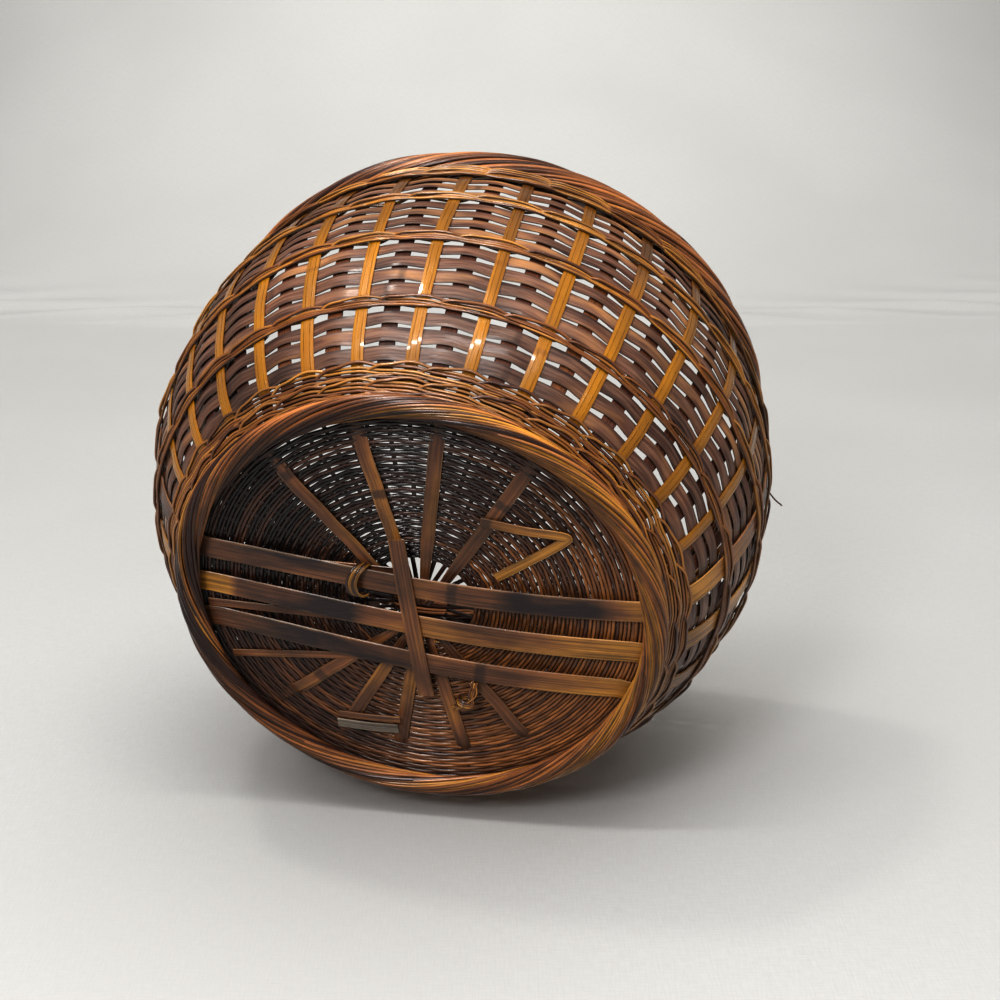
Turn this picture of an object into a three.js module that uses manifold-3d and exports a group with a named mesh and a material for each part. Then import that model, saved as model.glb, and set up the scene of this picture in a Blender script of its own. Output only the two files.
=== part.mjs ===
// A round gathering basket of split bamboo. Dark stakes rise from the edge of a flat base mat, and between
// each two of them a honey-coloured strip climbs the wall. Stakes and strips are long splits, each bent at
// the foot so that it climbs twice. Flat weavers arch out over the stakes and pass behind the strips, cane
// wales and cane bands hold the strips, and the foot and the rim are rolled borders. Three wide splints run
// under the base and up the wall in place of strips.

import * as THREE from 'three';
import Module from 'manifold-3d';

const wasm = await Module();
wasm.setup();

// Places round the wall, a strip and a stake by turns; angles in degrees
const stripCount = 30;
const firstStripAngle = -97.9;
const stripBunching = 5.2;
const bunchingSide = 80;
const splintStrips = [[28, 12], [27, 13], [26, 14]];

// Heights of the courses from the ground up, in millimetres
const footBorderHeight = 8;
const splintSeat = 0.3;
const splintThickness = 1.2;
const spokeThickness = 1;
const baseThickness = 1.6;
const lowerBandHeight = 11;
const firstBandHeight = 25;
const secondBandHeight = 36;
const thirdBandHeight = 34;
const fourthBandHeight = 29;
const upperBandHeight = 16.5;
const rimBorderHeight = 20;

// Wall shape
const footRadius = 97;
const bellyRadius = 145;
const shoulderRadius = 138;
const bellyHeight = 118;
const bellyFullness = 2.4;

// Splits of bamboo and cane
const stakeWidth = 7;
const stakeThickness = 1;
const stripWidth = 6.5;
const stripThickness = 0.8;
const weaverThickness = 0.7;
const weaverHeight = 5.6;
const weaverArch = 2;
const rowsInBands = [3, 4, 4, 3];
const waleHeight = 4.4;
const waleThickness = 2;
const bandThickness = 2.2;
const bandRibs = 3;
const ribDepth = 0.8;
const fit = 0.3;

// Borders
const footBorderInset = 1.5;
const footBorderWidth = 11;
const rimBorderInset = 0.5;
const rimBorderWidth = 14;
const borderStrands = 4;
const borderLayTurns = 4;
const strandRelief = 0.12;
const groundFlat = 0.5;

// Base
const roundPitch = 22;
const roundRelief = 0.6;
const splintWidth = 11;
const splintBendRun = 5;
const crossSplintLength = 88;
const crossSplintWidth = 8;
const spokeWidth = 6;
const spokeInnerRadius = 27;
const spokesPerFan = 5;
const nearFanPitch = 24;
const farFanPitch = 20;
const fanLean = 3.5;

// Facets
const bandFacets = 30;
const borderFacets = 36;

// Levels that follow from the heights above; the spokes are woven halfway into the base mat
const splintLevel = footBorderHeight + splintSeat + splintThickness / 2;
const spokeLevel = splintLevel + splintThickness / 2 + fit + spokeThickness / 2;
const baseUnderside = spokeLevel;
const baseTop = baseUnderside + baseThickness;
const lowerBandTop = footBorderHeight + fit + lowerBandHeight;
const waleLevels = [lowerBandTop + firstBandHeight];
waleLevels.push(waleLevels[0] + secondBandHeight);
waleLevels.push(waleLevels[1] + thirdBandHeight);
const upperBandBottom = waleLevels[2] + fourthBandHeight;
const rimBorderBottom = upperBandBottom + upperBandHeight + fit;
const stakeTop = rimBorderBottom - fit;
const stripTop = upperBandBottom + upperBandHeight / 3;
const bends = [lowerBandTop, ...waleLevels, upperBandBottom];
const wallStations = [baseUnderside, ...bends, stakeTop];
const footBorderRadius = wallCurve(baseUnderside) - footBorderInset;
const rimBorderRadius = shoulderRadius - rimBorderInset;

const placeCount = 2 * stripCount;
const degrees = Math.PI / 180;
const splintSet = new Set(splintStrips.flat());

// Radial layers, measured outward from the middle of the stakes. A weaver runs straight from the front of a
// stake to the back of the next strip, so both keep clear of it at their edges where places are closest.
const lowestGap = closestPlaces(lowerBandTop);
const weaverHalf = (1.1 * weaverThickness) / 2;
const weaverFront = stakeThickness / 2 + fit + weaverHalf + (weaverArch * stakeWidth) / (2 * lowestGap);
const weaverBack = weaverFront - weaverArch;
const seatOver = (width) => weaverBack + (weaverArch * width) / (2 * lowestGap) + weaverHalf + fit;
const crownOf = (width) => width ** 2 / (8 * wallCurve(baseUnderside));
const stripMiddle = seatOver(stripWidth) + stripThickness / 2;
const stripOuter = stripMiddle + stripThickness / 2 + crownOf(stripWidth);
const splintMiddle = seatOver(splintWidth) + splintThickness / 2;
const splintOuter = splintMiddle + splintThickness / 2 + crownOf(splintWidth);
const bandInner = splintOuter + fit + bellyRadius * (1 - Math.cos(Math.PI / bandFacets));

// A wale lies on the stakes and rides over the strips, which lifts it more the wider they are
const waleGap = closestPlaces(waleLevels[0]);
const waleRide = fit + (1.1 * waleThickness) / 2 + waleGap ** 2 / (4 * wallCurve(waleLevels[0]));
const waleDip = stakeThickness / 2 + fit + (1.1 * waleThickness) / 2;
const stripShare = stripWidth / (2 * waleGap);
const waleOverStrip = (stripOuter + waleRide - waleDip * stripShare) / (1 - stripShare);
const waleOverSplint = splintOuter + waleRide;

const finishes = {
  stake: { color: 0x4a2a1c, roughness: 0.6, metalness: 0 },
  weaver: { color: 0x50322a, roughness: 0.55, metalness: 0 },
  honey: { color: 0xc27420, roughness: 0.3, metalness: 0 },
  cane: { color: 0x8a4a1c, roughness: 0.4, metalness: 0 },
  border: { color: 0x5e2f18, roughness: 0.45, metalness: 0 },
  splint: { color: 0x6a4122, roughness: 0.5, metalness: 0 },
};

function finish(kind) {
  return new THREE.MeshStandardMaterial(finishes[kind]);
}

// Smooth outline of the wall: a full belly over a narrow foot, drawn in a little at the shoulder
function wallCurve(height) {
  if (height < bellyHeight) {
    const below = 1 - height / bellyHeight;
    return bellyRadius - (bellyRadius - footRadius) * below ** bellyFullness;
  }
  const above = (height - bellyHeight) / (stakeTop - bellyHeight);
  return bellyRadius - (bellyRadius - shoulderRadius) * above ** 2;
}

// Stakes run straight from course to course, so every piece on the wall uses the same straight stretches
function wallRadius(height) {
  const last = wallStations.length - 1;
  const level = THREE.MathUtils.clamp(height, wallStations[0], wallStations[last]);
  let upper = 1;
  while (upper < last && wallStations[upper] < level) upper += 1;
  const low = wallStations[upper - 1];
  const high = wallStations[upper];
  return THREE.MathUtils.mapLinear(level, low, high, wallCurve(low), wallCurve(high));
}

// Strips stand at even places and stakes at odd ones; set by hand, they crowd together on one side
function placeAngle(index) {
  const even = firstStripAngle + (index * 360) / placeCount;
  return (even + stripBunching * Math.sin((even - bunchingSide) * degrees)) * degrees;
}

// Least distance between neighbouring places at a height
function closestPlaces(height) {
  const gaps = Array.from({ length: placeCount }, (_, k) => placeAngle(k + 1) - placeAngle(k));
  return Math.min(...gaps) * wallCurve(height);
}

function polar(radius, angle, height) {
  return new THREE.Vector3(radius * Math.cos(angle), radius * Math.sin(angle), height);
}

// Closed skin through a row of sections, each a ring of points; it joins end to start or gets flat ends,
// and its faces point out whichever way the sections run
function skin(sections, joined) {
  const count = sections[0].length;
  const positions = sections.flat().flatMap((point) => point.toArray());
  const faces = [];
  const spans = joined ? sections.length : sections.length - 1;
  for (let s = 0; s < spans; s += 1) {
    const here = s * count;
    const next = ((s + 1) % sections.length) * count;
    for (let p = 0; p < count; p += 1) {
      const q = (p + 1) % count;
      faces.push([here + p, here + q, next + q], [here + p, next + q, next + p]);
    }
  }
  if (!joined) {
    const end = (sections.length - 1) * count;
    for (let p = 1; p < count - 1; p += 1) {
      faces.push([0, p + 1, p], [end, end + p, end + p + 1]);
    }
  }
  const corners = sections.flat();
  const slice = ([a, b, c]) => corners[a].dot(corners[b].clone().cross(corners[c]));
  const volume = faces.reduce((sum, face) => sum + slice(face), 0);
  const outward = volume > 0 ? faces : faces.map(([a, b, c]) => [a, c, b]);
  const geometry = new THREE.BufferGeometry();
  geometry.setAttribute('position', new THREE.Float32BufferAttribute(positions, 3));
  geometry.setIndex(outward.flat());
  return geometry;
}

function addPiece(group, name, geometry, kind) {
  geometry.computeVertexNormals();
  const mesh = new THREE.Mesh(geometry, finish(kind));
  mesh.name = name;
  group.add(mesh);
  return mesh;
}

// Rectangle across a strip: half its width each way along `across`, half its thickness along `outward`
function stripSection(middle, across, outward, width, thickness) {
  const corner = (side, face) =>
    middle
      .clone()
      .addScaledVector(across, (side * width) / 2)
      .addScaledVector(outward, (face * thickness) / 2);
  return [corner(-1, -1), corner(1, -1), corner(1, 1), corner(-1, 1)];
}

// Section of a split that lies on the wall, from one edge to the other; an edge is [place, shift, height],
// with the shift measured along the wall from that place
function wallSection(edges, layer, thickness) {
  const point = ([place, shift, height], face) => {
    const angle = placeAngle(place);
    const aside = polar(shift, angle + Math.PI / 2, 0);
    return polar(wallRadius(height) + layer + (face * thickness) / 2, angle, height).add(aside);
  };
  const [first, last] = edges;
  return [point(first, -1), point(last, -1), point(last, 1), point(first, 1)];
}

// Sections of one upright from the first height to the last; `side` is -1 where the split runs upward
function upright(place, heights, layer, width, thickness, side = 1) {
  const reach = (side * width) / 2;
  const edges = (height) => [[place, -reach, height], [place, reach, height]];
  return heights.map((height) => wallSection(edges(height), layer, thickness));
}

// One split that climbs the wall at two places, with a flat run along the foot between them
function hairpin([from, to], top, runBottom, layer, width, thickness) {
  const half = width / 2;
  const runTop = runBottom + width;
  const middle = (from + to) / 2;
  const climb = [...bends, top];
  const run = [
    [[from, -half, runBottom], [from, half, runTop]],
    [[middle, 0, runBottom], [middle, 0, runTop]],
    [[to, half, runBottom], [to, -half, runTop]],
  ];
  return skin([
    ...upright(from, climb.toReversed(), layer, width, thickness),
    ...run.map((edges) => wallSection(edges, layer, thickness)),
    ...upright(to, climb, layer, width, thickness, -1),
  ], false);
}

// Ring that follows the wall, with its own radial layer at each place
function wallRing(bottom, top, thickness, layerAt) {
  const sections = [];
  for (let k = 0; k < placeCount; k += 1) {
    const angle = placeAngle(k);
    const inner = layerAt(k) - thickness / 2;
    const outer = layerAt(k) + thickness / 2;
    sections.push([
      polar(wallRadius(bottom) + inner, angle, bottom),
      polar(wallRadius(bottom) + outer, angle, bottom),
      polar(wallRadius(top) + outer, angle, top),
      polar(wallRadius(top) + inner, angle, top),
    ]);
  }
  return skin(sections, true);
}

// Ring swept round the axis from a closed outline of [radius, height] points
function hoop(outlineAt, facets) {
  const sections = [];
  for (let f = 0; f < facets; f += 1) {
    const angle = (f * 2 * Math.PI) / facets;
    sections.push(outlineAt(angle).map(([radius, height]) => polar(radius, angle, height)));
  }
  return skin(sections, true);
}

function solid(geometry) {
  const vertProperties = new Float32Array(geometry.getAttribute('position').array);
  const triVerts = new Uint32Array(geometry.getIndex().array);
  return new wasm.Manifold(new wasm.Mesh({ numProp: 3, vertProperties, triVerts }));
}

function geometryOf(manifold) {
  const { vertProperties, triVerts, numProp } = manifold.getMesh();
  const positions = [];
  for (let v = 0; v < vertProperties.length; v += numProp) {
    positions.push(vertProperties[v], vertProperties[v + 1], vertProperties[v + 2]);
  }
  const geometry = new THREE.BufferGeometry();
  geometry.setAttribute('position', new THREE.Float32BufferAttribute(positions, 3));
  geometry.setIndex(Array.from(triVerts));
  return geometry;
}

const pad = (number) => String(number).padStart(2, '0');

// Stakes, two to a split, standing on the edge of the base mat
function stakes(group) {
  for (let s = 0; s < stripCount / 2; s += 1) {
    const pair = [4 * s + 1, 4 * s + 3];
    const geometry = hairpin(pair, stakeTop, baseTop + fit, 0, stakeWidth, stakeThickness);
    addPiece(group, `stake_pair_${pad(s + 1)}`, geometry, 'stake');
  }
}

// Honey strips, tucked behind the bands at both ends; one beside a splint may be left without a partner
function honeyStrips(group) {
  const runBottom = footBorderHeight + fit;
  const form = [stripMiddle, stripWidth, stripThickness];
  const isStrip = (s) => s < stripCount && !splintSet.has(s);
  let count = 0;
  for (let s = 0; s < stripCount; s += 1) {
    if (!isStrip(s)) continue;
    const paired = isStrip(s + 1);
    const geometry = paired
      ? hairpin([2 * s, 2 * s + 2], stripTop, runBottom, ...form)
      : skin(upright(2 * s, [runBottom, baseUnderside, ...bends, stripTop], ...form), false);
    count += 1;
    addPiece(group, `honey_strip_${pad(count)}`, geometry, 'honey');
    if (paired) s += 1;
  }
}

// Flat weavers of the four plain bands, in front of every stake and behind every strip
function weavers(group) {
  const waleClear = waleHeight / 2 + fit;
  const floors = [lowerBandTop + fit, ...waleLevels.map((level) => level + waleClear)];
  const ceilings = [...waleLevels.map((level) => level - waleClear), upperBandBottom - fit];
  const layerAt = (k) => (k % 2 === 0 ? weaverBack : weaverFront);
  rowsInBands.forEach((rows, band) => {
    const pitch = (ceilings[band] - floors[band]) / rows;
    for (let row = 0; row < rows; row += 1) {
      const bottom = floors[band] + (row + 0.5) * pitch - weaverHeight / 2;
      const geometry = wallRing(bottom, bottom + weaverHeight, weaverThickness, layerAt);
      addPiece(group, `weaver_band_${band + 1}_row_${row + 1}`, geometry, 'weaver');
    }
  });
}

// Cane wales: over every strip and splint, down on the stakes between the strips
function wales(group) {
  const layerAt = (k) => {
    if (k % 2 === 0) return splintSet.has(k / 2) ? waleOverSplint : waleOverStrip;
    const besideSplint = splintSet.has((k - 1) / 2) || splintSet.has(((k + 1) / 2) % stripCount);
    return besideSplint ? waleOverSplint : waleDip;
  };
  waleLevels.forEach((level, index) => {
    const geometry = wallRing(level - waleHeight / 2, level + waleHeight / 2, waleThickness, layerAt);
    addPiece(group, `wale_${index + 1}`, geometry, 'cane');
  });
}

// Cane band round the outside, ribbed by its rows of canes
function caneBand(bottom, top) {
  const rowHeight = (top - bottom) / bandRibs;
  const outline = [[wallRadius(top) + bandInner, top]];
  if (bottom < baseUnderside) outline.push([wallRadius(baseUnderside) + bandInner, baseUnderside]);
  outline.push([wallRadius(bottom) + bandInner, bottom]);
  for (let rib = 0; rib < bandRibs; rib += 1) {
    const groove = bottom + rib * rowHeight;
    const crest = groove + rowHeight / 2;
    outline.push([wallRadius(groove) + bandInner + bandThickness - ribDepth, groove]);
    outline.push([wallRadius(crest) + bandInner + bandThickness, crest]);
  }
  outline.push([wallRadius(top) + bandInner + bandThickness - ribDepth, top]);
  return hoop(() => outline, bandFacets);
}

// Rolled border: strands laid round each other, drawn as an oval whose lobes wind along the ring
function rolledBorder(radius, middle, width, height) {
  const points = 2 * borderStrands;
  const outlineAt = (angle) => {
    const outline = [];
    for (let p = 0; p < points; p += 1) {
      const turn = -((p * 2 * Math.PI) / points) + borderLayTurns * angle;
      const reach = p % 2 === 0 ? 1 : 1 - strandRelief;
      const across = (reach * width * Math.cos(turn)) / 2;
      const up = (reach * height * Math.sin(turn)) / 2;
      outline.push([radius + across, middle + up]);
    }
    return outline;
  };
  return hoop(outlineAt, borderFacets);
}

// Foot border, trimmed flat where it stands on the ground
function footBorder() {
  const tall = footBorderHeight + groundFlat;
  const roll = solid(rolledBorder(footBorderRadius, tall / 2 - groundFlat, footBorderWidth, tall));
  const reach = 2 * (footBorderRadius + footBorderWidth);
  const ground = new THREE.BoxGeometry(reach, reach, tall).translate(0, 0, -tall / 2);
  return geometryOf(roll.subtract(solid(mergedBox(ground))));
}

// Box with shared corners, so that it is a closed solid
function mergedBox(box) {
  const source = box.getAttribute('position');
  const index = new Map();
  const corners = [];
  const lookup = [];
  for (let v = 0; v < source.count; v += 1) {
    const point = new THREE.Vector3().fromBufferAttribute(source, v);
    const key = point.toArray().join();
    if (!index.has(key)) {
      index.set(key, corners.length / 3);
      corners.push(...point.toArray());
    }
    lookup.push(index.get(key));
  }
  const geometry = new THREE.BufferGeometry();
  geometry.setAttribute('position', new THREE.Float32BufferAttribute(corners, 3));
  geometry.setIndex(Array.from(box.getIndex().array, (v) => lookup[v]));
  return geometry;
}

// Half of a wide splint's run, from the top of the wall down and round the edge of the base mat
function splintClimb(strip) {
  const place = 2 * strip;
  const angle = placeAngle(place);
  const across = polar(1, angle + Math.PI / 2, 0);
  const bend = polar(Math.SQRT1_2, angle, -Math.SQRT1_2);
  const clear = splintThickness / 2 + 2 * fit;
  const edge = polar(wallRadius(baseUnderside) + stakeThickness / 2, angle, baseUnderside);
  const heights = [stripTop, ...bends.toReversed(), baseTop];
  return [
    ...upright(place, heights, splintMiddle, splintWidth, splintThickness),
    stripSection(edge.addScaledVector(bend, clear), across, bend, splintWidth, splintThickness),
  ];
}

// Wide splint: down one side of the wall, straight under the base and up the other side
function wideSplint([start, end]) {
  const inset = wallRadius(baseUnderside) - splintBendRun;
  const from = polar(inset, placeAngle(2 * start), splintLevel);
  const to = polar(inset, placeAngle(2 * end), splintLevel);
  const along = to.clone().sub(from).normalize();
  const down = new THREE.Vector3(0, 0, -1);
  const across = new THREE.Vector3().crossVectors(down, along);
  const flat = (point) => stripSection(point, across, down, splintWidth, splintThickness);
  const mirrored = ([a, b, c, d]) => [b, a, d, c];
  const ascent = splintClimb(end).toReversed().map(mirrored);
  return skin([...splintClimb(start), flat(from), flat(to), ...ascent], false);
}

// Frame of the base underside: along the middle splint and square to it
function splintBearing() {
  const [start, end] = splintStrips[Math.floor(splintStrips.length / 2)];
  const from = polar(footBorderRadius, placeAngle(2 * start), 0);
  const to = polar(footBorderRadius, placeAngle(2 * end), 0);
  const along = to.clone().sub(from);
  return { middle: from.lerp(to, 0.5), angle: Math.atan2(along.y, along.x) };
}

function flatBar(middle, angle, level, length, width, thickness) {
  const along = polar(1, angle, 0);
  const across = polar(1, angle + Math.PI / 2, 0);
  const up = new THREE.Vector3(0, 0, 1);
  const ends = [-length / 2, length / 2].map((run) => {
    const point = new THREE.Vector3(middle.x, middle.y, level).addScaledVector(along, run);
    return stripSection(point, across, up, width, thickness);
  });
  return skin(ends, false);
}

// Base mat: its rounds of cane are low ridges on the upper face, and two fans of spokes are woven in below
function baseMat() {
  const ring = (radius, height) => {
    const points = [];
    for (let k = 1; k < placeCount; k += 2) points.push(polar(radius, placeAngle(k), height));
    return points;
  };
  const edgeRadius = (height) => wallRadius(height) + stakeThickness / 2;
  const rings = [baseUnderside, baseTop].map((height) => ring(edgeRadius(height), height));
  const slopes = Math.floor((2 * edgeRadius(baseTop)) / roundPitch) - 1;
  for (let s = 1; s <= slopes; s += 1) {
    const height = s % 2 === 1 ? baseTop - roundRelief : baseTop;
    rings.push(ring(edgeRadius(baseTop) - (s * roundPitch) / 2, height));
  }
  const pieces = [solid(skin(rings, false))];
  const square = splintBearing().angle + Math.PI / 2 + fanLean * degrees;
  const fans = [[square, farFanPitch], [square + Math.PI, nearFanPitch]];
  const outerRadius = footBorderRadius - footBorderWidth / 2;
  const length = outerRadius - spokeInnerRadius;
  fans.forEach(([bearing, pitch]) => {
    for (let s = 0; s < spokesPerFan; s += 1) {
      const lean = bearing + (s - (spokesPerFan - 1) / 2) * pitch * degrees;
      const point = polar((outerRadius + spokeInnerRadius) / 2, lean, 0);
      pieces.push(solid(flatBar(point, lean, spokeLevel, length, spokeWidth, spokeThickness)));
    }
  });
  return geometryOf(wasm.Manifold.union(pieces));
}

// Wide splints and the cross splint that holds them from below
function splints(group) {
  splintStrips.forEach((pair, index) => {
    addPiece(group, `base_splint_${index + 1}`, wideSplint(pair), 'splint');
  });
  const { middle, angle } = splintBearing();
  const level = splintLevel - splintThickness - fit;
  const square = angle + Math.PI / 2;
  const cross = flatBar(middle, square, level, crossSplintLength, crossSplintWidth, splintThickness);
  addPiece(group, 'cross_splint', cross, 'splint');
}

const basket = new THREE.Group();
const rimMiddle = rimBorderBottom + rimBorderHeight / 2;
addPiece(basket, 'base_mat', baseMat(), 'stake');
addPiece(basket, 'foot_border', footBorder(), 'border');
addPiece(basket, 'lower_band', caneBand(footBorderHeight + fit, lowerBandTop), 'cane');
addPiece(basket, 'upper_band', caneBand(upperBandBottom, upperBandBottom + upperBandHeight), 'cane');
const rimBorder = rolledBorder(rimBorderRadius, rimMiddle, rimBorderWidth, rimBorderHeight);
addPiece(basket, 'rim_border', rimBorder, 'border');
stakes(basket);
weavers(basket);
wales(basket);
honeyStrips(basket);
splints(basket);

export default basket;
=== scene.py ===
# Looks of a gathering basket: splits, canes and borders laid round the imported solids, and a stage
import math
import random
from functools import partial

import bpy
import numpy as np
from bpy.props import FloatProperty, FloatVectorProperty, IntProperty, PointerProperty
from mathutils import Matrix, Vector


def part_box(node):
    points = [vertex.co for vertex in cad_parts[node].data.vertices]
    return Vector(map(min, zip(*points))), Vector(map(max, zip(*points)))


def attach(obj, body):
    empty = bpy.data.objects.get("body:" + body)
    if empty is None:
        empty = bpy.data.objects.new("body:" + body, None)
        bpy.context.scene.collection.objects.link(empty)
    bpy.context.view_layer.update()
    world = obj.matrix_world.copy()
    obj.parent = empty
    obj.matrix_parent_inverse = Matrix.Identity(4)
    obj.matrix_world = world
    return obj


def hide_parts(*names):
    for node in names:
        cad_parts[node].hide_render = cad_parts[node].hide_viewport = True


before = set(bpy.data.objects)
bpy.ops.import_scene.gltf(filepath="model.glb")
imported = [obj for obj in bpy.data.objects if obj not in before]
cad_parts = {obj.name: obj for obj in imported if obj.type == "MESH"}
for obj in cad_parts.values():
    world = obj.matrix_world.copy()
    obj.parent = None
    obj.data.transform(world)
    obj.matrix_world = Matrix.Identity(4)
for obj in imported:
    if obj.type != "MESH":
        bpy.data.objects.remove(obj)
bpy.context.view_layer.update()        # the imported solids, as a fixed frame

bl_info = {
    "name": "Gathering basket",
    "version": (1, 0, 0),
    "blender": (4, 5, 0),
    "location": "3D View > Sidebar > Basket",
    "description": "Split bamboo, cane wales and rolled borders of a gathering basket, with its stage",
    "category": "Object",
}

BODY = "root"
MM = 0.001
TURN = 2 * math.pi
UP = np.array([0.0, 0.0, 1.0])


# Sizes and colours

def length(name, description, default):
    """A length property, given in millimetres and kept in metres."""
    return FloatProperty(name=name, description=description, default=default * MM, min=0.0, unit="LENGTH",
                         precision=5)


def count(name, description, default):
    """A whole-number property."""
    return IntProperty(name=name, description=description, default=default, min=1)


def colour(name, description, default):
    """A colour property."""
    return FloatVectorProperty(name=name, description=description, default=default, size=3, min=0.0,
                               max=1.0, subtype="COLOR")


class BasketSizes(bpy.types.PropertyGroup):
    """Sizes of the splits and canes that the solids leave open."""
    weaver_thickness: length("Weaver", "Thickness of the flat weavers", 0.7)
    weaver_front: length("Weaver front", "How far a weaver stands out over a dark stake", 1.4)
    weaver_back: length("Weaver back", "How far a weaver stands out behind a honey strip", 0.4)
    strip_layer: length("Strip layer", "Distance of the honey strips from the stakes", 1.5)
    splint_layer: length("Splint layer", "Distance of the wide splints from the stakes", 2.15)
    wale_cane: length("Wale cane", "Thickness of the canes of the wales", 1.45)
    lower_cane: length("Lower band cane", "Thickness of the canes of the lower band", 1.5)
    upper_cane: length("Upper band cane", "Thickness of the canes of the upper band", 1.5)
    rim_cane: length("Rim cane", "Thickness of the canes rolled into the rim", 2.7)
    foot_strand: length("Foot strand", "Thickness of the strands rolled into the foot", 1.9)
    mat_cane: length("Mat cane", "Thickness of the canes of the base mat", 1.98)
    mat_pitch: length("Mat pitch", "Distance between rows of the base mat", 1.7)
    splint_sag: length("Splint sag", "How far the wide splints bow under the base", 3.6)
    splint_drift: length("Splint drift", "How far the wide splints stray to one side under the base", 3.2)
    rim_canes: count("Rim canes", "Canes in each of the four bundles of the rim", 5)
    foot_strands: count("Foot strands", "Strands on the outside of the foot border", 23)


class BasketColours(bpy.types.PropertyGroup):
    """Colours of the splits, canes and cloth."""
    honey: colour("Honey", "Honey strips", (0.31, 0.135, 0.0035))
    # Dark colour of the upper ends of the honey strips: partly their own brown, partly painted shade of the
    # upper wall
    honey_brown: colour("Brown honey", "Browned upper ends of the honey strips", (0.095, 0.042, 0.013))
    honey_dark: colour("Dark honey", "Dark streaks of the honey strips", (0.165, 0.062, 0.004))
    weaver: colour("Weaver", "Smoked weavers", (0.088, 0.036, 0.021))
    weaver_streak: colour("Weaver streak", "Pale grain of the weavers", (0.25, 0.135, 0.085))
    weaver_pale: colour("Pale weaver", "Tan lengths of the weavers", (0.36, 0.18, 0.065))
    weaver_dark: colour("Dark weaver", "Dark lengths of the weavers", (0.03, 0.0125, 0.01))
    stake: colour("Stake", "Dark stakes", (0.14, 0.046, 0.022))
    cane: colour("Cane", "Canes of wales and bands", (0.24, 0.089, 0.018))
    cane_pale: colour("Pale cane", "Golden canes", (0.52, 0.25, 0.04))
    cane_dark: colour("Dark cane", "Smoked canes", (0.065, 0.023, 0.015))
    border: colour("Border", "Canes of the rolled borders", (0.41, 0.165, 0.056))
    border_dark: colour("Dark border", "Smoked canes of the borders", (0.05, 0.017, 0.01))
    splint: colour("Splint", "Wide splints", (0.26, 0.107, 0.042))
    splint_pale: colour("Pale splint", "Golden patches of the splints", (0.55, 0.265, 0.045))
    splint_dark: colour("Dark splint", "Nearly black patches of the splints", (0.02, 0.011, 0.011))
    mat: colour("Mat", "Canes of the base mat", (0.12, 0.049, 0.027))
    mat_pale: colour("Pale mat", "Brown canes of the base mat", (0.44, 0.178, 0.052))
    grey: colour("Grey", "Weathered ends", (0.13, 0.112, 0.1))
    grey_pale: colour("Pale grey", "Bleached fibres of weathered ends", (0.36, 0.31, 0.24))
    # Real stains, and painted shade along the edges of canes, weavers and stakes where they lie against each
    # other
    dirt_and_shade: colour("Grime", "Dirt in the hollows", (0.01, 0.0065, 0.006))
    edge_band: colour("Worn edge", "Fibre bared at worn edges", (0.36, 0.2, 0.08))
    cloth: colour("Cloth", "Pale cloth under and behind the basket", (0.325, 0.326, 0.323))
    cloth_shade: colour("Cloth shade", "Threads and faint stains of the cloth", (0.293, 0.292, 0.287))


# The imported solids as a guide

def named(prefix):
    """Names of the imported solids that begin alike, in order."""
    return sorted(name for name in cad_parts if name.startswith(prefix))


def corners(name):
    """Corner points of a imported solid."""
    return np.array([corner.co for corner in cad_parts[name].data.vertices], float)


def ends(name):
    """Highest corners of a split of the wall, gathered end by end."""
    same_level, same_end = 0.5 * MM, 15 * MM
    points = corners(name)
    found = []
    for point in points[points[:, 2] > points[:, 2].max() - same_level]:
        home = next((end for end in found if np.linalg.norm(end[0] - point) < same_end), None)
        if home is None:
            found.append([point])
        else:
            home.append(point)
    return [np.array(end) for end in found]


def tops(name):
    """Angles at which a split of the wall ends."""
    middles = [end.mean(axis=0) for end in ends(name)]
    return sorted(math.atan2(y, x) for x, y, _ in middles)


def breadth(name):
    """Width of a split of the wall."""
    end = ends(name)[0]
    return max(np.linalg.norm(point - end[0]) for point in end)


def level(name):
    """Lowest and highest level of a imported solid."""
    low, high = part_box(name)
    return low.z, high.z


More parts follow.
